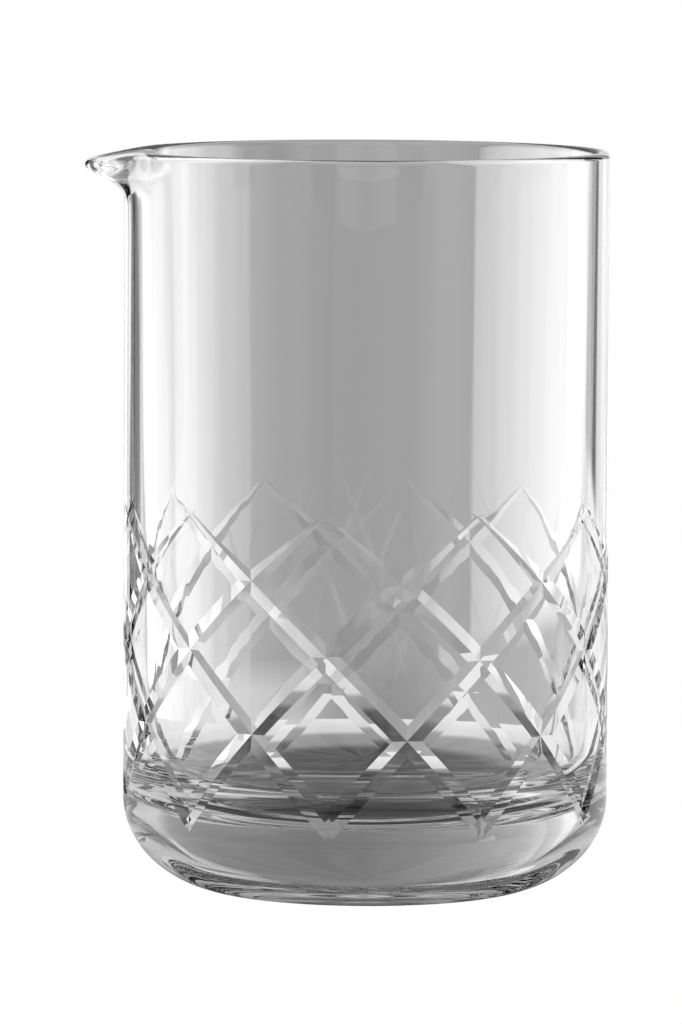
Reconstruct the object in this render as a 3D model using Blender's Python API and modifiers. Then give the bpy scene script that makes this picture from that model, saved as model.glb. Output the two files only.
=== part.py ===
"""Mixing glass: a straight-sided bar glass with a thick rounded base, a small beak pressed out of
the rim for pouring, and a band of crossing V-shaped cuts ground into the lower half of the wall.

The glass stands on z = 0 with its axis on the Z axis, and pours towards -X. Units are metres.
It is blown, pressed and cut from a single piece of glass, so it is one solid.
"""

import math

import bmesh
import bpy
from mathutils import Matrix

NAME = "mixing_glass"
BODY_NAME = "glass_body"

# Turned body
OUTER_RADIUS = 0.0475
HEIGHT = 0.1454
RIM_WALL = 0.0026           # thickness of the wall just under the rim
BASE_WALL = 0.0041          # thickness of the wall, carried on down to the height of the floor
FLOOR_HEIGHT = 0.016        # solid glass under the inside floor
FILLET_HEIGHT = 0.0130      # the large rounding between the inside floor and the wall
FILLET_WIDTH = 0.020
HEEL_HEIGHT = 0.0187        # height of the rounded heel
FOOT_RADIUS = 0.0250        # flat disc that the glass stands on
TURN_STEPS = 60             # a whole number for each column of the cut pattern

# Pouring beak
BEAK_REACH = 0.0078         # how far the tip stands out from the wall
BEAK_DROP = 0.0018          # how far the tip lies under the rim
BEAK_HALF_ANGLE = math.radians(27.0)
BEAK_DIRECTION = math.pi
BEAK_EDGE = 0.0020          # the edge of the beak keeps its thickness over this depth
BEAK_DEPTH = 0.0032         # how fast the beak dies out down the wall under its edge
BEAK_ZONE = 0.014           # below this depth the wall is round

# Cut pattern: crossings lie on rows, half a column apart from row to row
CUTS_EACH_WAY = 10
COLUMN_ANGLE = math.radians(180.0 / CUTS_EACH_WAY)
FIRST_COLUMN_ANGLE = math.radians(-99.5)
TOP_ROW_HEIGHT = 0.0768
ROW_PITCH = 0.0122          # spacing of the first rows
ROW_STRETCH = 0.00058       # the rows open out towards the base
LAST_ROW = 4.0
CUT_HALF_WIDTH = 0.0020
CUT_DEPTH = 0.0005
CUT_CLEARANCE = 0.0005      # how far the cutter stands out of the wall
FADE_IN_START = 0.1         # rows above the top row at which a cut begins
SMALLEST_SCALE = 0.06
SECOND_SET_SCALE = 0.94     # the cuts leaning one way are a little shallower than the others
FADE_IN_ROWS = 1.4
FADE_OUT_ROWS = 0.10
POINTS_PER_ROW = 3

MERGE_DISTANCE = 0.00001


def clear_scene():
    """Remove every object, so that the script can run again."""
    for old in list(bpy.data.objects):
        bpy.data.objects.remove(old, do_unlink=True)


def new_collection(name):
    """Return a new collection linked to the scene."""
    collection = bpy.data.collections.new(name)
    bpy.context.scene.collection.children.link(collection)
    return collection


def glass_material():
    """Clear, colourless polished glass."""
    material = bpy.data.materials.new("clear_glass")
    material.use_nodes = True
    shader = material.node_tree.nodes["Principled BSDF"]
    shader.inputs["Base Color"].default_value = (0.93, 0.94, 0.94, 1.0)
    shader.inputs["Metallic"].default_value = 0.0
    shader.inputs["Roughness"].default_value = 0.02
    shader.inputs["IOR"].default_value = 1.5
    shader.inputs["Transmission Weight"].default_value = 1.0
    return material


def arc(centre, radii, start, end, steps):
    """Points of an elliptic arc in the (radius, height) plane, both ends included."""
    points = []
    for step in range(steps + 1):
        angle = start + (end - start) * step / steps
        across = centre[0] + radii[0] * math.cos(angle)
        up = centre[1] + radii[1] * math.sin(angle)
        points.append((across, up))
    return points


def inner_radius(height):
    """Inside radius of the wall, which grows thicker towards the base."""
    share = (height - FLOOR_HEIGHT) / (HEIGHT - FLOOR_HEIGHT)
    wall = BASE_WALL + (RIM_WALL - BASE_WALL) * share
    return OUTER_RADIUS - wall


def body_profile():
    """Half section, from the middle of the inside floor over the rim to the middle of the foot."""
    quarter = math.pi / 2
    depths = [0.0095, 0.0068, 0.0050, 0.0036, 0.0024]
    fillet_top = FLOOR_HEIGHT + FILLET_HEIGHT
    fillet_centre = (inner_radius(fillet_top) - FILLET_WIDTH, fillet_top)
    fillet = arc(fillet_centre, (FILLET_WIDTH, FILLET_HEIGHT), -quarter, 0.0, 7)
    inside = [(inner_radius(HEIGHT - depth), HEIGHT - depth) for depth in [BEAK_ZONE] + depths]
    rim_radius = RIM_WALL / 2
    rim_centre = (OUTER_RADIUS - rim_radius, HEIGHT - rim_radius)
    rim = arc(rim_centre, (rim_radius, rim_radius), math.pi, 0.0, 6)
    outside = [(OUTER_RADIUS, HEIGHT - depth) for depth in reversed([BEAK_ZONE] + depths)]
    heel_centre = (FOOT_RADIUS, HEEL_HEIGHT)
    heel_radii = (OUTER_RADIUS - FOOT_RADIUS, HEEL_HEIGHT)
    heel = arc(heel_centre, heel_radii, 0.0, -quarter, 8)
    floor_middle = [(0.0, FLOOR_HEIGHT)]
    foot_middle = [(0.0, 0.0)]
    return floor_middle + fillet + inside + rim + outside + heel + foot_middle


def turn(profile):
    """Turn the half section about Z with a Screw modifier and return it as a mesh.

    The columns of the cut pattern lie in the middle of facets, so that each straight stretch of
    a cut lies along one facet and has an even depth, and the cuts cross away from the corners.
    """
    mesh = bpy.data.meshes.new("section")
    vertices = [(radius, 0.0, height) for radius, height in profile]
    edges = [(index, index + 1) for index in range(len(vertices) - 1)]
    mesh.from_pydata(vertices, edges, [])
    section = bpy.data.objects.new("section", mesh)
    bpy.context.scene.collection.objects.link(section)
    screw = section.modifiers.new("turn", "SCREW")
    screw.axis = "Z"
    screw.angle = 2 * math.pi
    screw.steps = TURN_STEPS
    screw.render_steps = TURN_STEPS
    screw.use_merge_vertices = True
    screw.merge_threshold = MERGE_DISTANCE
    screw.use_smooth_shade = True
    depsgraph = bpy.context.evaluated_depsgraph_get()
    turned = bpy.data.meshes.new_from_object(section.evaluated_get(depsgraph))
    bpy.data.objects.remove(section, do_unlink=True)
    half_facet = math.pi / TURN_STEPS
    turned.transform(Matrix.Rotation(FIRST_COLUMN_ANGLE + half_facet, 4, "Z"))
    return turned


def press_beak(mesh):
    """Push the rim outwards and down around the beak's direction, less and less down the wall."""
    for vertex in mesh.vertices:
        depth = max(0.0, HEIGHT - vertex.co.z)
        radius = math.hypot(vertex.co.x, vertex.co.y)
        if depth > BEAK_ZONE or radius < OUTER_RADIUS / 2:
            continue
        bearing = math.atan2(vertex.co.y, vertex.co.x) - BEAK_DIRECTION
        bearing = math.remainder(bearing, 2 * math.pi)
        if abs(bearing) >= BEAK_HALF_ANGLE:
            continue
        across = 0.5 + 0.5 * math.cos(math.pi * bearing / BEAK_HALF_ANGLE)
        across = across ** 1.25
        down = math.exp(-((max(0.0, depth - BEAK_EDGE) / BEAK_DEPTH) ** 1.7))
        ease = min(1.0, (BEAK_ZONE - depth) / (BEAK_ZONE / 2))
        push = BEAK_REACH * across * down * ease
        scale = (radius + push) / radius
        vertex.co.x *= scale
        vertex.co.y *= scale
        vertex.co.z -= BEAK_DROP * across * math.exp(-1.6 * depth / BEAK_ZONE) * ease


def row_height(row):
    """Height of the crossings on a row; rows count from 0 at the top, and may be fractions."""
    return TOP_ROW_HEIGHT - ROW_PITCH * row - ROW_STRETCH * row * row


def cut_scale(row, lean):
    """Size of the cut's section along its run, from nothing at the top to full size."""
    full = 1.0 if lean > 0 else SECOND_SET_SCALE
    fade_in = (row + FADE_IN_START) / FADE_IN_ROWS
    fade_out = (LAST_ROW + FADE_OUT_ROWS - row) / FADE_OUT_ROWS
    return full * max(SMALLEST_SCALE, min(1.0, fade_in, fade_out))


def cut_section(collection):
    """V section of a cut, as a curve that the cutters are swept with."""
    top_half_width = CUT_HALF_WIDTH * (CUT_DEPTH + CUT_CLEARANCE) / CUT_DEPTH
    corners = [(-CUT_DEPTH, 0.0), (CUT_CLEARANCE, top_half_width), (CUT_CLEARANCE, -top_half_width)]
    curve = bpy.data.curves.new("cut_section", "CURVE")
    curve.dimensions = "2D"
    spline = curve.splines.new("POLY")
    spline.points.add(len(corners) - 1)
    for point, corner in zip(spline.points, corners):
        point.co = (corner[0], corner[1], 0.0, 1.0)
    spline.use_cyclic_u = True
    section = bpy.data.objects.new("cut_section", curve)
    section.hide_render = True
    section.display_type = "WIRE"
    collection.objects.link(section)
    return section


def cutter(name, first_column, lean, section, collection):
    """One cutter: the V section swept down a helix that crosses a column for each row."""
    curve = bpy.data.curves.new(name, "CURVE")
    curve.dimensions = "3D"
    curve.twist_mode = "Z_UP"
    curve.bevel_mode = "OBJECT"
    curve.bevel_object = section
    curve.use_fill_caps = True
    rows = [(step - 0.5) / POINTS_PER_ROW for step in range(int(LAST_ROW) * POINTS_PER_ROW + 1)]
    rows.extend([LAST_ROW, LAST_ROW + FADE_OUT_ROWS])
    if lean < 0:
        rows.reverse()      # every cutter runs the same way round, so its edge points inwards
    spline = curve.splines.new("POLY")
    spline.points.add(len(rows) - 1)
    for point, row in zip(spline.points, rows):
        bearing = FIRST_COLUMN_ANGLE + COLUMN_ANGLE * (first_column + lean * row)
        across = OUTER_RADIUS * math.cos(bearing)
        along = OUTER_RADIUS * math.sin(bearing)
        point.co = (across, along, row_height(row), 1.0)
        point.radius = cut_scale(row, lean)
    sweep = bpy.data.objects.new(name + "_sweep", curve)
    collection.objects.link(sweep)
    depsgraph = bpy.context.evaluated_depsgraph_get()
    mesh = bpy.data.meshes.new_from_object(sweep.evaluated_get(depsgraph))
    matrix = sweep.matrix_world.copy()
    bpy.data.objects.remove(sweep, do_unlink=True)
    shape = bmesh.new()
    shape.from_mesh(mesh)
    bmesh.ops.remove_doubles(shape, verts=shape.verts, dist=MERGE_DISTANCE)
    bmesh.ops.recalc_face_normals(shape, faces=shape.faces)
    shape.to_mesh(mesh)
    shape.free()
    solid = bpy.data.objects.new(name, mesh)
    solid.matrix_world = matrix
    solid.hide_render = True
    solid.display_type = "WIRE"
    collection.objects.link(solid)
    return solid


def make_cutters(collection):
    """All the cuts: the same number leaning each way, from every second column."""
    section = cut_section(collection)
    for number in range(CUTS_EACH_WAY):
        cutter(f"cut_left_{number:02d}", 2 * number, 1, section, collection)
        cutter(f"cut_right_{number:02d}", 2 * number, -1, section, collection)
    bpy.data.objects.remove(section, do_unlink=True)


def make_body(parts, cutters):
    """The glass itself, turned, pressed and cut."""
    mesh = turn(body_profile())
    mesh.name = BODY_NAME
    press_beak(mesh)
    body = bpy.data.objects.new(BODY_NAME, mesh)
    parts.objects.link(body)
    mesh.materials.clear()
    mesh.materials.append(glass_material())
    cut = body.modifiers.new("cuts", "BOOLEAN")
    cut.operation = "DIFFERENCE"
    cut.solver = "EXACT"
    cut.operand_type = "COLLECTION"
    cut.collection = cutters
    mesh.shade_smooth()
    mesh.set_sharp_from_angle(angle=math.radians(30.0))
    return body


def main():
    """Build the mixing glass."""
    clear_scene()
    parts = new_collection(NAME)
    cutters = new_collection("cutters")
    make_cutters(cutters)
    make_body(parts, cutters)


main()
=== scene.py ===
"""Mixing glass: the looks. Clear cut glass on a white ground, in a bright studio with grey cards."""

import math

import bpy
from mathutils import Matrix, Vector


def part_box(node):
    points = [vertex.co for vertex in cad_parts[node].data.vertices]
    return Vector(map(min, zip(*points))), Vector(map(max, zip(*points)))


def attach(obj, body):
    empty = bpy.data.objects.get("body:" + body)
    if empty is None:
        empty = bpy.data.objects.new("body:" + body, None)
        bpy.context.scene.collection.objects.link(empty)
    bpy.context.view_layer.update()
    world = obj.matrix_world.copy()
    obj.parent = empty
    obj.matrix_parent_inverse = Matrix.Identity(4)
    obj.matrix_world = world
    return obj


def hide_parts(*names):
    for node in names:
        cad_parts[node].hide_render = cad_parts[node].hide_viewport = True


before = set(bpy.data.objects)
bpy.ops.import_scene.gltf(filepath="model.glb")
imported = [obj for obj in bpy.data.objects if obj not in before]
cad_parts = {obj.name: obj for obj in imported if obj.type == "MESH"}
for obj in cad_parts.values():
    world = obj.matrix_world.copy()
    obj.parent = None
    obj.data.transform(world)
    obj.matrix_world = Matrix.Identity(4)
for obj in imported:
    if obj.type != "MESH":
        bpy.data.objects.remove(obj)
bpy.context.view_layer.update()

NODE = "glass_body"

# Turned body, metres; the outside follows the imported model
LOWEST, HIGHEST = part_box(NODE)
OUTER_RADIUS = (HIGHEST[1] - LOWEST[1]) / 2
HEIGHT = HIGHEST[2] - LOWEST[2]
RIM_WALL = 0.0026           # wall thickness at the rim
BASE_WALL = 0.0041          # and at the level of the inside floor
FLOOR_HEIGHT = 0.016
FILLET_HEIGHT = 0.0130      # rounding between the inside floor and the wall
FILLET_WIDTH = 0.020
HEEL_HEIGHT = 0.0187
FOOT_RADIUS = 0.0250

# Beak
BEAK_REACH = 0.0078         # how far its tip stands out
BEAK_DROP = 0.0018          # how far its tip is under the rim
BEAK_HALF_ANGLE = math.radians(27.0)
BEAK_DIRECTION = math.pi
BEAK_EDGE = 0.0020          # height of its edge, which is pushed out by the full amount
BEAK_DEPTH = 0.0032         # height over which the push then dies away
BEAK_ZONE = 0.014           # height of the wall that takes any part of its shape
BEAK_POINT = 1.25           # above 1, its sides draw in to a narrower tip
BEAK_CURL = 1.7             # how suddenly the push dies away
BEAK_SETTLE = 1.6           # how quickly the drop dies away down the zone

# Cut pattern
CUTS_EACH_WAY = 10
COLUMN_ANGLE = math.radians(180.0 / CUTS_EACH_WAY)  # half the step between two cuts of one lean
FIRST_COLUMN_ANGLE = math.radians(-99.5)
TOP_ROW_HEIGHT = 0.0768     # height of the topmost crossings, row 0
ROW_PITCH = 0.0122
ROW_STRETCH = 0.00058       # extra drop of a row, times its number squared
LAST_ROW = 4
CUT_WIDTH = 0.196           # half width of a cut, in columns
CUT_DEPTH = 0.00045
# How far each cut strays from its place, in columns, as hand cutting leaves it
CUT_SHIFTS = {
    1: (0.02, 0.06, 0.10, -0.03, 0.04, -0.05, 0.03, -0.05, 0.0, 0.03),
    -1: (-0.05, 0.0, 0.12, 0.15, 0.06, -0.04, 0.05, -0.03, 0.04, 0.0),
}
FADE_START = -0.1           # row where a cut begins, with no depth
FADE_ROWS = 1.6             # rows that it takes to reach its full depth
WIDTH_ROWS = 1.1            # rows that it takes to reach its full width
SMALLEST_WIDTH = 0.30

# Glass surface
REFRACTION = 1.5
DRAW_LINES = 240.0          # noise cells for each metre round the wall
DRAW_LINE_STRETCH = 0.04    # how quickly a draw line changes down the wall, against round it
DRAW_LINE_DEPTH = 0.00003
POLISHED_TO = 0.022         # height up to which the base has no draw lines
BLOWN_FROM = 0.042          # height from which they have their full depth
SMUDGE_SCALE = 38.0
SMUDGE_LOW, SMUDGE_HIGH = 0.52, 0.80    # noise levels between which a smudge grows
SMUDGE_ROUGHNESS = 0.02
ABSORPTION_COLOUR = (0.5, 0.5, 0.5, 1)
ABSORPTION_DENSITY = 10.0

# What the glass sees round it, as (place, display tone); a tone over 255 is brighter than white.
# Places are in metres, and in degrees for the world.
WORLD_PERIOD = 45.0         # the world's lights repeat with this step round the glass
WORLD_STOPS = ((0, 200), (4, 225), (8, 255), (14, 255), (17, 92), (22.5, 92))

# Grey card behind the glass, its tones from left to right
CARD_DISTANCE = 0.130
CARD_HALF_WIDTH = 0.200     # its right edge, and how far its tones are given to both sides
CARD_LEFT = -0.0975         # its left edge, past which the flag shows
CARD_LOW, CARD_HIGH = 0.017, 0.330
CARD_STOPS = (
    (-0.100, 255), (-0.096, 275), (-0.091, 310), (-0.076, 305), (-0.068, 260), (-0.058, 238),
    (-0.0555, 222), (-0.053, 257), (-0.049, 254), (-0.042, 226), (-0.036, 197), (-0.0297, 183),
    (-0.0295, 163), (-0.020, 143), (-0.013, 159), (-0.008, 165), (0.008, 167), (0.0135, 162),
    (0.0252, 150), (0.0254, 187), (0.044, 238), (0.060, 266), (0.076, 300), (0.090, 210),
    (0.101, 225), (0.110, 280), (0.125, 240), (0.131, 60),
)

# Lowest strip of the card, lit from the left: the height of its upper edge in the middle, how soft
# that edge is, and how steeply it climbs to the right
STRIP_TOP, STRIP_BLUR, STRIP_SLOPE = 0.024, 0.007, 0.22
STRIP_STOPS = (
    (-0.200, 300), (-0.085, 340), (-0.063, 274), (-0.045, 232), (-0.028, 203), (-0.014, 180),
    (0.0, 151), (0.008, 149), (0.030, 159), (0.048, 167), (0.068, 180), (0.090, 250), (0.200, 250),
)

# Dark flag further back on the left
FLAG_DISTANCE = 0.330
FLAG_LEFT, FLAG_RIGHT = -0.450, -0.150
FLAG_STOPS = (
    (-0.450, 255), (-0.3085, 240), (-0.289, 120), (-0.269, 40), (-0.177, 30), (-0.167, 200),
)

# Floor as the glass sees it, its tones from the glass outwards: a painted shadow, darkest close to the
# glass and fading to near white further out
FLOOR_SIZE = 3.0            # half its width
FLOOR_LEVEL = -0.0002       # just under the foot, so that the two faces don't meet
FLOOR_SQUEEZE = 0.42        # its rings are ovals, this much narrower from side to side
FLOOR_REACH = 0.500         # distance of the last tone
FLOOR_SHADOW_STOPS = (
    (0, 30), (0.070, 40), (0.087, 60), (0.097, 145), (0.122, 155), (0.136, 222), (0.220, 240),
    (0.500, 250),
)
UNLIT_SECTOR = (0.78, 0.95)     # lit to unlit, as cosines of the angle from straight ahead of the glass
UNLIT_FROM = (0.25, 0.38)       # lit to unlit, as distances from the glass
UNLIT_TONE = 120

# Camera
CAMERA_DISTANCE = 1.80
CAMERA_RISE = 0.080         # above the rim
CAMERA_LENS = 324.0
PITCH = math.radians(4.796)
YAW = math.radians(-0.1772)
ROLL = math.radians(-0.25)

LIGHT_BOUNCES = 32

# Mesh density, in steps along each stretch of the section
FLANK_STEPS = 2
FIELD_STEPS = 18
WALL_STEPS = 16
BEAK_STEPS = 24
RIM_STEPS = 16
INSIDE_STEPS = 24
FILLET_STEPS = 36
HEEL_STEPS = 44
DISC_STEPS = 8
HUB_SHARE = 0.04            # radius of the small middle face of a disc, as a share of the disc's

# Rows of the grid that carries the cuts
LATTICE_TOP = -1
LATTICE_BOTTOM = 5
TIP_ROW = 4.25
SQUASHED_ROW = 0.0012       # height of the rows under the tips, where nothing is cut


def outer_radius(z):
    """Outside radius of the glass before it is cut."""
    if z >= HEEL_HEIGHT:
        return OUTER_RADIUS
    share = (HEEL_HEIGHT - z) / HEEL_HEIGHT
    return FOOT_RADIUS + (OUTER_RADIUS - FOOT_RADIUS) * math.sqrt(max(0.0, 1 - share * share))


def inner_radius(z):
    """Inside radius of the wall, which thins evenly towards the rim."""
    share = (z - FLOOR_HEIGHT) / (HEIGHT - FLOOR_HEIGHT)
    return OUTER_RADIUS - (BASE_WALL + (RIM_WALL - BASE_WALL) * share)


def row_height(row):
    """Height of a row of crossings; the rows under the tips are pressed together."""
    capped = min(row, TIP_ROW)
    height = TOP_ROW_HEIGHT - ROW_PITCH * capped - ROW_STRETCH * capped * capped
    if row > TIP_ROW:
        height -= SQUASHED_ROW * (row - TIP_ROW) / (LATTICE_BOTTOM - TIP_ROW)
    return height


def row_at(z):
    """Row number at a height, the inverse of row_height above the tips."""
    tip_height = row_height(TIP_ROW)
    if z < tip_height:
        return TIP_ROW + (tip_height - z) / SQUASHED_ROW * (LATTICE_BOTTOM - TIP_ROW)
    drop = TOP_ROW_HEIGHT - z
    root = ROW_PITCH * ROW_PITCH + 4 * ROW_STRETCH * drop
    return (math.sqrt(root) - ROW_PITCH) / (2 * ROW_STRETCH)


def fade(row):
    """Depth of a cut along its run, as a share of full depth."""
    share = (row - FADE_START) / FADE_ROWS
    return max(0.0, min(1.0, share))


def width_share(row):
    """Width of a cut along its run, as a share of full width."""
    return max(SMALLEST_WIDTH, min(1.0, (row - FADE_START) / WIDTH_ROWS))


def cut_place(line, lean):
    """Where the cut that belongs on an even column runs."""
    return line + CUT_SHIFTS[lean][round(line / 2) % CUTS_EACH_WAY]


def flank_depth(column, row, lean, line, sign):
    """Depth of one flank of a cut, taken on past its edges."""
    side = sign * (column - lean * row - cut_place(line, lean))
    return CUT_DEPTH * fade(row) * (1 - side / (CUT_WIDTH * width_share(row)))


def end_depth(column, row, lean, line, sign):
    """Depth of the short facet that closes the lower end of a cut."""
    past_end = lean * (column + lean * row - cut_place(line, lean)) - 2 * LAST_ROW
    return CUT_DEPTH * (1 - past_end / CUT_WIDTH)


def facet_at(column, row):
    """Depth of the wall's surface at a place, and the facet that it lies on."""
    best = (0.0, None)
    for lean in (1, -1):
        run = column - lean * row
        line = 2 * round(run / 2)
        sign = 1 if run >= cut_place(line, lean) else -1
        facet = (flank_depth, lean, line, sign)
        depth = flank_depth(column, row, lean, line, sign)
        if lean * (column + lean * row - cut_place(line, lean)) > 2 * LAST_ROW:
            end = end_depth(column, row, lean, line, sign)
            if end < depth:
                depth, facet = end, (end_depth, lean, line, sign)
        if depth > best[0]:
            best = (depth, facet)
    return best


def lattice_pattern():
    """Positions across one pair of columns: the cut's flanks, then the field between cuts."""
    flank = [CUT_WIDTH * (step / FLANK_STEPS) for step in range(-FLANK_STEPS, FLANK_STEPS)]
    span = 2 - 2 * CUT_WIDTH
    field = [CUT_WIDTH + span * step / FIELD_STEPS for step in range(FIELD_STEPS)]
    return flank + field


PATTERN = lattice_pattern()
PERIOD = len(PATTERN)
AROUND = PERIOD * CUTS_EACH_WAY


def nominal(index):
    """Place of a grid line before it is warped, in columns."""
    return 2 * (index // PERIOD) + PATTERN[index % PERIOD]


def warped(value, row, lean):
    """Place of a grid line: narrow flanks where the cuts fade in, and shifted as the cuts are."""
    line = 2 * round(value / 2)
    side = value - line
    here = cut_place(line, lean) - line
    narrow = CUT_WIDTH * width_share(row)
    if abs(side) <= CUT_WIDTH:
        return line + here + side * narrow / CUT_WIDTH
    share = (abs(side) - CUT_WIDTH) / (1 - CUT_WIDTH)
    beside = line + math.copysign(2, side)
    there = cut_place(beside, lean) - beside
    drift = here + (there - here) * share / 2
    return line + drift + math.copysign(narrow + (1 - narrow) * share, side)


def bearing(column):
    """Direction of a column from the middle of the glass."""
    return FIRST_COLUMN_ANGLE + COLUMN_ANGLE * column


class Builder:
    """Collects the glass's vertices, faces and exact normals."""

    def __init__(self):
        self.points = []
        self.faces = []
        self.normals = []       # one list for each face, with a normal for each corner
        self.turned = {}        # vertex to the normal of the turned surface there

    def ring(self, profile_point, profile_normal, columns):
        """One ring of vertices at a (radius, height)."""
        start = len(self.points)
        for number, column in enumerate(columns):
            angle = bearing(column)
            across, along = math.cos(angle), math.sin(angle)
            self.points.append((profile_point[0] * across, profile_point[0] * along, profile_point[1]))
            normal = (profile_normal[0] * across, profile_normal[0] * along, profile_normal[1])
            self.turned[start + number] = normal
        return [start + number for number in range(len(columns))]

    def face(self, corners, normals=None):
        corners = tuple(corners)
        self.faces.append(corners)
        self.normals.append(normals or [self.turned[corner] for corner in corners])

    def band(self, upper, lower):
        """Quads between two rings; the outside is to the right when walking down."""
        count = len(upper)
        for number in range(count):
            after = (number + 1) % count
            self.face((upper[number], lower[number], lower[after], upper[after]))


def surface_radius(column, z, facet):
    """Radius of a facet of the wall at a place, or of the uncut wall."""
    radius = outer_radius(z)
    if facet:
        depth, lean, line, sign = facet
        radius -= depth(column, row_at(z), lean, line, sign)
    return radius


def surface_normal(column, row, facet):
    """Exact outward normal of a facet of the wall, by small differences."""
    z = row_height(row)
    column_step, height_step = 1e-4, 1e-6
    radius = surface_radius(column, z, facet)
    after, before = (surface_radius(column + step, z, facet) for step in (column_step, -column_step))
    around = (after - before) / (2 * column_step * COLUMN_ANGLE * radius)
    above, below = (surface_radius(column, z + step, facet) for step in (height_step, -height_step))
    up = (above - below) / (2 * height_step)
    angle = bearing(column)
    outward = Vector((math.cos(angle), math.sin(angle), 0.0))
    sideways = Vector((-math.sin(angle), math.cos(angle), 0.0))
    normal = outward - around * sideways - Vector((0.0, 0.0, up))
    return tuple(normal.normalized())


def lattice(builder):
    """The cut part of the wall, on a grid whose lines run along the two sets of cuts."""
    first, last = LATTICE_TOP * PERIOD, LATTICE_BOTTOM * PERIOD
    index, place = {}, {}
    for i in range(AROUND):
        one_way = nominal(i)
        for k in range(first, last + 1):
            other_way = nominal(i + k)
            row = (other_way - one_way) / 2
            real_one_way = warped(one_way, row, 1)
            real_other_way = warped(other_way, row, -1)
            column = (real_one_way + real_other_way) / 2
            real_row = (real_other_way - real_one_way) / 2
            z = row_height(real_row)
            radius = outer_radius(z) - facet_at(column, real_row)[0]
            angle = bearing(column)
            index[i, k] = len(builder.points)
            place[len(builder.points)] = (column, real_row)
            builder.turned[len(builder.points)] = surface_normal(column, real_row, None)
            builder.points.append((radius * math.cos(angle), radius * math.sin(angle), z))

    whole_turn = 2 * CUTS_EACH_WAY

    def at(i, k):
        return index[i % AROUND, k]

    def add(corners):
        first_column = place[corners[0]][0]
        turns = [round((first_column - place[corner][0]) / whole_turn) for corner in corners]
        columns = [place[corner][0] + whole_turn * turn for corner, turn in zip(corners, turns)]
        rows = [place[corner][1] for corner in corners]
        count = len(corners)
        facet = facet_at(sum(columns) / count, sum(rows) / count)[1]
        normals = [surface_normal(column, row, facet) for column, row in zip(columns, rows)]
        builder.face(corners, normals)

    for i in range(AROUND):
        for k in range(first, last + 1):
            left, right = at(i, k), at(i + 1, k)
            if k == first:
                add((left, at(i, k + 1), right))
                continue
            if k == last:
                add((left, right, at(i + 1, k - 1)))
                continue
            top, bottom = at(i + 1, k - 1), at(i, k + 1)
            across = i % PERIOD
            along = (i + k) % PERIOD
            crossing = across < 2 * FLANK_STEPS and along < 2 * FLANK_STEPS
            if not crossing:
                add((left, bottom, right, top))
            elif (across < FLANK_STEPS) == (along < FLANK_STEPS):
                add((left, bottom, right))
                add((left, right, top))
            else:
                add((left, bottom, top))
                add((bottom, right, top))
    top_ring = [at(i, first) for i in range(AROUND)]
    bottom_ring = [at(i, last) for i in range(AROUND)]
    return top_ring, bottom_ring


def arc(centre, radii, start, end, steps):
    """Points and normals of an elliptic arc in the (radius, height) plane."""
    found = []
    for step in range(steps + 1):
        angle = start + (end - start) * step / steps
        point = (centre[0] + radii[0] * math.cos(angle), centre[1] + radii[1] * math.sin(angle))
        normal = Vector((math.cos(angle) / radii[0], math.sin(angle) / radii[1])).normalized()
        found.append((point, (normal.x, normal.y)))
    return found


def straight(start, end, steps, normal):
    """Points along a straight stretch of the section, the start left out."""
    found = []
    for step in range(1, steps + 1):
        share = step / steps
        point = (start[0] + (end[0] - start[0]) * share, start[1] + (end[1] - start[1]) * share)
        found.append((point, normal))
    return found


def beak_share(x, y, z):
    """How much of the beak's shape a place takes, how deep it is under the rim, and its radius."""
    depth = max(0.0, HEIGHT - z)
    radius = math.hypot(x, y)
    turn = math.remainder(math.atan2(y, x) - BEAK_DIRECTION, 2 * math.pi)
    if depth > BEAK_ZONE or radius < OUTER_RADIUS / 2 or abs(turn) >= BEAK_HALF_ANGLE:
        return 0.0, depth, radius
    across = (0.5 + 0.5 * math.cos(math.pi * turn / BEAK_HALF_ANGLE)) ** BEAK_POINT
    return across * min(1.0, (BEAK_ZONE - depth) / (BEAK_ZONE / 2)), depth, radius


def press_beak(points):
    """Push the rim outwards and down around the beak's direction, less and less down the wall."""
    moved = []
    for x, y, z in points:
        share, depth, radius = beak_share(x, y, z)
        if share > 0:
            down = math.exp(-((max(0.0, depth - BEAK_EDGE) / BEAK_DEPTH) ** BEAK_CURL))
            scale = 1 + BEAK_REACH * share * down / radius
            x, y = x * scale, y * scale
            z -= BEAK_DROP * share * math.exp(-BEAK_SETTLE * depth / BEAK_ZONE)
        moved.append((x, y, z))
    return moved


def inside_section():
    """Section from the top of the cut pattern up the outside, over the rim and down to the floor."""
    quarter = math.pi / 2
    rim_radius = RIM_WALL / 2
    wall_top = HEIGHT - BEAK_ZONE
    rim_base = HEIGHT - rim_radius
    lean = (BASE_WALL - RIM_WALL) / (HEIGHT - FLOOR_HEIGHT)
    inward = Vector((-1.0, lean)).normalized()
    fillet_top = FLOOR_HEIGHT + FILLET_HEIGHT
    outside = [(OUTER_RADIUS, z) for z in (row_height(LATTICE_TOP), wall_top, rim_base)]
    inside = [(inner_radius(z), z) for z in (rim_base, wall_top, fillet_top)]
    section = straight(outside[0], outside[1], WALL_STEPS, (1, 0))
    section += straight(outside[1], outside[2], BEAK_STEPS, (1, 0))
    rim_centre = (OUTER_RADIUS - rim_radius, rim_base)
    section += arc(rim_centre, (rim_radius, rim_radius), 0, math.pi, RIM_STEPS)[1:]
    section += straight(inside[0], inside[1], BEAK_STEPS, inward)
    section += straight(inside[1], inside[2], INSIDE_STEPS, inward)
    fillet_centre = (inner_radius(fillet_top) - FILLET_WIDTH, fillet_top)
    fillet = arc(fillet_centre, (FILLET_WIDTH, FILLET_HEIGHT), 0, -quarter, FILLET_STEPS)[1:]
    section += [(point, (-normal[0], -normal[1])) for point, normal in fillet]
    edge = fillet_centre[0]
    section += straight((edge, FLOOR_HEIGHT), (edge * HUB_SHARE, FLOOR_HEIGHT), DISC_STEPS, (0, 1))
    return section


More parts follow.
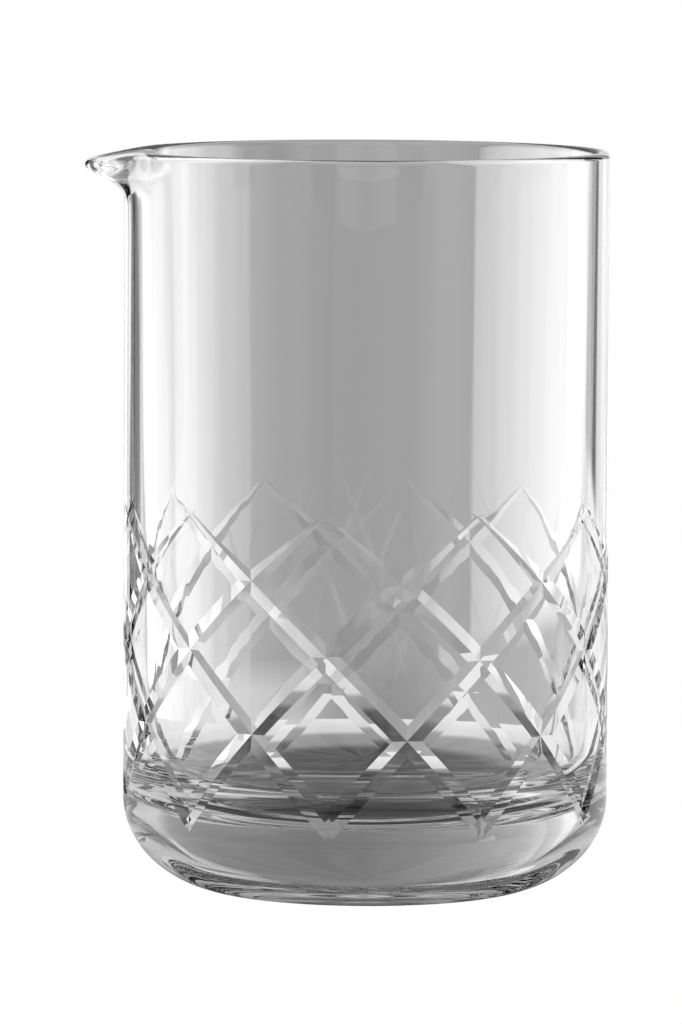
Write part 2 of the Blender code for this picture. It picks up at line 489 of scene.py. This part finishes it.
def base_section():
    """Section from under the cut pattern round the heel to the middle of the foot."""
    quarter = math.pi / 2
    start = row_height(LATTICE_BOTTOM)
    lowest = math.asin((HEEL_HEIGHT - start) / HEEL_HEIGHT) if start < HEEL_HEIGHT else 0.0
    heel = (OUTER_RADIUS - FOOT_RADIUS, HEEL_HEIGHT)
    section = arc((FOOT_RADIUS, HEEL_HEIGHT), heel, -lowest, -quarter, HEEL_STEPS)[1:]
    section += straight((FOOT_RADIUS, 0.0), (FOOT_RADIUS * HUB_SHARE, 0.0), DISC_STEPS, (0, -1))
    return section


def glass_mesh():
    """The whole surface of the glass, with exact normals outside the beak."""
    builder = Builder()
    top_ring, bottom_ring = lattice(builder)
    columns = [nominal(i) + LATTICE_TOP for i in range(AROUND)]
    lower = top_ring
    for point, normal in inside_section():
        upper = builder.ring(point, normal, columns)
        builder.band(upper, lower)
        lower = upper
    builder.face(lower)
    upper = bottom_ring
    columns = [nominal(i) + LATTICE_BOTTOM for i in range(AROUND)]
    for point, normal in base_section():
        lower = builder.ring(point, normal, columns)
        builder.band(upper, lower)
        upper = lower
    builder.face(reversed(upper))
    mesh = bpy.data.meshes.new("glass_surface")
    mesh.from_pydata(press_beak(builder.points), [], builder.faces)
    mesh.shade_smooth()
    smooth = [tuple(normal.vector) for normal in mesh.corner_normals]
    normals = []
    for polygon, exact in zip(mesh.polygons, builder.normals):
        for loop, vertex, normal in zip(polygon.loop_indices, polygon.vertices, exact):
            pressed = beak_share(*builder.points[vertex])[0] > 0
            normals.append(smooth[loop] if pressed else normal)
    mesh.normals_split_custom_set(normals)
    return mesh


def eased(nodes, links, value, low, high):
    """0 at low, 1 at high, straight between and level beyond; low may be the higher one."""
    share = nodes.new("ShaderNodeMapRange")
    share.inputs["From Min"].default_value = low
    share.inputs["From Max"].default_value = high
    links.new(value, share.inputs["Value"])
    return share.outputs["Result"]


def glass_material():
    """Clear glass with faint draw lines down the wall and a few smudges from handling."""
    made = bpy.data.materials.new("clear_glass")
    made.use_nodes = True
    nodes, links = made.node_tree.nodes, made.node_tree.links
    shader = nodes["Principled BSDF"]
    shader.inputs["Base Color"].default_value = (1, 1, 1, 1)
    shader.inputs["IOR"].default_value = REFRACTION
    shader.inputs["Transmission Weight"].default_value = 1.0
    coordinate = nodes.new("ShaderNodeTexCoord")
    stretch = nodes.new("ShaderNodeMapping")
    stretch.inputs["Scale"].default_value = (DRAW_LINES, DRAW_LINES, DRAW_LINES * DRAW_LINE_STRETCH)
    links.new(coordinate.outputs["Object"], stretch.inputs["Vector"])
    lines = nodes.new("ShaderNodeTexNoise")
    lines.inputs["Scale"].default_value = 1.0
    lines.inputs["Detail"].default_value = 1.0
    links.new(stretch.outputs["Vector"], lines.inputs["Vector"])
    bump = nodes.new("ShaderNodeBump")
    bump.inputs["Distance"].default_value = DRAW_LINE_DEPTH
    heights = nodes.new("ShaderNodeSeparateXYZ")
    links.new(coordinate.outputs["Object"], heights.inputs[0])
    blown = eased(nodes, links, heights.outputs["Z"], POLISHED_TO, BLOWN_FROM)
    links.new(blown, bump.inputs["Strength"])
    links.new(lines.outputs["Fac"], bump.inputs["Height"])
    links.new(bump.outputs["Normal"], shader.inputs["Normal"])
    smudges = nodes.new("ShaderNodeTexNoise")
    smudges.inputs["Scale"].default_value = SMUDGE_SCALE
    smudges.inputs["Detail"].default_value = 4.0
    links.new(coordinate.outputs["Object"], smudges.inputs["Vector"])
    rough = nodes.new("ShaderNodeMapRange")
    rough.inputs["From Min"].default_value = SMUDGE_LOW
    rough.inputs["From Max"].default_value = SMUDGE_HIGH
    rough.inputs["To Max"].default_value = SMUDGE_ROUGHNESS
    links.new(smudges.outputs["Fac"], rough.inputs["Value"])
    links.new(rough.outputs["Result"], shader.inputs["Roughness"])
    absorption = nodes.new("ShaderNodeVolumeAbsorption")
    absorption.inputs["Color"].default_value = ABSORPTION_COLOUR
    absorption.inputs["Density"].default_value = ABSORPTION_DENSITY
    links.new(absorption.outputs[0], nodes["Material Output"].inputs["Volume"])
    return made


def tone(value):
    """Linear light for a display tone, where 255 is white."""
    share = value / 255
    return share / 12.92 if share <= 0.04045 else ((share + 0.055) / 1.055) ** 2.4


def socket_maths(nodes, links):
    """Helper that adds Math nodes to a tree and returns their output sockets."""
    def add(operation, *values):
        node = nodes.new("ShaderNodeMath")
        node.operation = operation
        for slot, value in enumerate(values):
            if isinstance(value, (int, float)):
                node.inputs[slot].default_value = value
            else:
                links.new(value, node.inputs[slot])
        return node.outputs[0]
    return add


def tone_ramp(nodes, links, value, low, high, stops):
    """Grey from a list of (place, tone) along a value that runs from low to high."""
    ramp = nodes.new("ShaderNodeValToRGB")
    links.new(eased(nodes, links, value, low, high), ramp.inputs[0])
    elements = ramp.color_ramp.elements
    while len(elements) > 1:
        elements.remove(elements[-1])
    for number, (place, level) in enumerate(stops):
        position = (place - low) / (high - low)
        element = elements[0] if number == 0 else elements.new(position)
        element.position = position
        element.color = (tone(level),) * 3 + (1,)
    return ramp.outputs[0]


def blend(nodes, links, factor, first, second):
    """Mix two greys; the second shows where the factor is 1."""
    node = nodes.new("ShaderNodeMix")
    node.data_type = "RGBA"
    for slot, value in (("Factor", factor), (6, first), (7, second)):
        if isinstance(value, float):
            node.inputs[slot].default_value = (value,) * 3 + (1,)
        else:
            links.new(value, node.inputs[slot])
    return node.outputs[2]


def studio_world():
    """White for the camera; soft lights with dark gaps between them for the glass."""
    world = bpy.data.worlds.new("studio")
    bpy.context.scene.world = world
    world.use_nodes = True
    nodes, links = world.node_tree.nodes, world.node_tree.links
    nodes.clear()
    maths = socket_maths(nodes, links)
    out = nodes.new("ShaderNodeOutputWorld")
    coordinate = nodes.new("ShaderNodeTexCoord")
    split = nodes.new("ShaderNodeSeparateXYZ")
    links.new(coordinate.outputs["Generated"], split.inputs[0])
    azimuth = maths("ARCTAN2", split.outputs["X"], split.outputs["Y"])
    degrees = maths("MULTIPLY", azimuth, 180 / math.pi)
    folded = maths("PINGPONG", maths("ABSOLUTE", degrees), WORLD_PERIOD / 2)
    around = tone_ramp(nodes, links, folded, 0, WORLD_PERIOD / 2, WORLD_STOPS)
    path = nodes.new("ShaderNodeLightPath")
    shown = blend(nodes, links, path.outputs["Is Camera Ray"], around, 1.0)
    background = nodes.new("ShaderNodeBackground")
    links.new(shown, background.inputs["Color"])
    links.new(background.outputs[0], out.inputs["Surface"])


def emitter(name, make_colour):
    """Material that shines with the grey that make_colour returns."""
    shine = bpy.data.materials.new(name)
    shine.use_nodes = True
    nodes, links = shine.node_tree.nodes, shine.node_tree.links
    nodes.clear()
    out = nodes.new("ShaderNodeOutputMaterial")
    emission = nodes.new("ShaderNodeEmission")
    links.new(make_colour(nodes, links), emission.inputs["Color"])
    links.new(emission.outputs[0], out.inputs["Surface"])
    return shine


def flat_sheet(name, corners, shine):
    """Staged sheet with four corners."""
    sheet = bpy.data.meshes.new(name)
    sheet.from_pydata(corners, [], [(0, 1, 2, 3)])
    sheet.materials.append(shine)
    staged = bpy.data.objects.new(name, sheet)
    bpy.context.scene.collection.objects.link(staged)
    return staged


def upright(left, right, distance, low):
    """Corners of a standing sheet behind the glass."""
    return [
        (left, distance, low),
        (right, distance, low),
        (right, distance, CARD_HIGH),
        (left, distance, CARD_HIGH),
    ]


def place_parts(nodes, links):
    """Sockets with X, Y and Z of the shaded place, in metres."""
    coordinate = nodes.new("ShaderNodeTexCoord")
    split = nodes.new("ShaderNodeSeparateXYZ")
    links.new(coordinate.outputs["Object"], split.inputs[0])
    return split.outputs


def card_colour(nodes, links):
    """Grey card behind the glass, paler to both sides; its lowest strip is lit from the left."""
    places = place_parts(nodes, links)
    maths = socket_maths(nodes, links)
    upper = tone_ramp(nodes, links, places["X"], -CARD_HALF_WIDTH, CARD_HALF_WIDTH, CARD_STOPS)
    lower = tone_ramp(nodes, links, places["X"], -CARD_HALF_WIDTH, CARD_HALF_WIDTH, STRIP_STOPS)
    slope = maths("MULTIPLY", maths("MAXIMUM", places["X"], 0.0), STRIP_SLOPE)
    height = maths("SUBTRACT", places["Z"], slope)
    share = eased(nodes, links, height, STRIP_TOP + STRIP_BLUR, STRIP_TOP)
    return blend(nodes, links, share, upper, lower)


def flag_colour(nodes, links):
    """Dark flag far behind on the left, which the glass's edge mirrors; its outer part is white."""
    return tone_ramp(nodes, links, place_parts(nodes, links)["X"], FLAG_LEFT, FLAG_RIGHT, FLAG_STOPS)


def floor_colour(nodes, links):
    """White to look at; through the glass it carries a painted shadow, dark close in and bright further
    out.
    """
    places = place_parts(nodes, links)
    maths = socket_maths(nodes, links)
    along = maths("MULTIPLY", places["Y"], places["Y"])
    squeezed = maths("DIVIDE", places["X"], FLOOR_SQUEEZE)
    near = maths("SQRT", maths("ADD", maths("MULTIPLY", squeezed, squeezed), along))
    # Painted shadow of the glass on the floor: dark close in, fading to near white outwards
    around = tone_ramp(nodes, links, near, 0.0, FLOOR_REACH, FLOOR_SHADOW_STOPS)
    # The side that the glass mirrors towards the camera is unlit
    distance = maths("SQRT", maths("ADD", maths("MULTIPLY", places["X"], places["X"]), along))
    forward = maths("DIVIDE", maths("MULTIPLY", places["Y"], -1.0), distance)
    in_sector = eased(nodes, links, forward, *UNLIT_SECTOR)
    far_enough = eased(nodes, links, distance, *UNLIT_FROM)
    unlit = maths("MULTIPLY", in_sector, far_enough)
    seen = blend(nodes, links, unlit, around, tone(UNLIT_TONE))
    path = nodes.new("ShaderNodeLightPath")
    return blend(nodes, links, path.outputs["Is Camera Ray"], seen, 1.0)


def studio():
    """Background, the two sheets that only the glass sees, and the table."""
    studio_world()
    card_corners = upright(CARD_LEFT, CARD_HALF_WIDTH, CARD_DISTANCE, CARD_LOW)
    flag_corners = upright(FLAG_LEFT, FLAG_RIGHT, FLAG_DISTANCE, 0.0)
    card = flat_sheet("card", card_corners, emitter("card", card_colour))
    flag = flat_sheet("flag", flag_corners, emitter("flag", flag_colour))
    for sheet in (card, flag):
        sheet.visible_camera = False
        sheet.visible_diffuse = False
        sheet.visible_shadow = False
    table_corners = [
        (-FLOOR_SIZE, -FLOOR_SIZE, FLOOR_LEVEL),
        (FLOOR_SIZE, -FLOOR_SIZE, FLOOR_LEVEL),
        (FLOOR_SIZE, FLOOR_SIZE, FLOOR_LEVEL),
        (-FLOOR_SIZE, FLOOR_SIZE, FLOOR_LEVEL),
    ]
    flat_sheet("table", table_corners, emitter("table", floor_colour))


def add_camera():
    """Far camera with a long lens, a little above the rim and looking slightly down."""
    camera_data = bpy.data.cameras.new("camera")
    camera = bpy.data.objects.new("camera", camera_data)
    bpy.context.scene.collection.objects.link(camera)
    camera.location = (0.0, -CAMERA_DISTANCE, HEIGHT + CAMERA_RISE)
    camera.rotation_euler = (math.pi / 2 - PITCH, ROLL, -YAW)
    camera_data.lens = CAMERA_LENS
    camera_data.clip_end = 50
    bpy.context.scene.camera = camera


glass = bpy.data.objects.new("glass_surface", glass_mesh())
bpy.context.scene.collection.objects.link(glass)
glass.data.materials.append(glass_material())
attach(glass, "root")
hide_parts(NODE)

studio()
add_camera()

scene = bpy.context.scene
scene.view_settings.view_transform = "Standard"
scene.cycles.max_bounces = LIGHT_BOUNCES
scene.cycles.transmission_bounces = LIGHT_BOUNCES
scene.cycles.glossy_bounces = LIGHT_BOUNCES
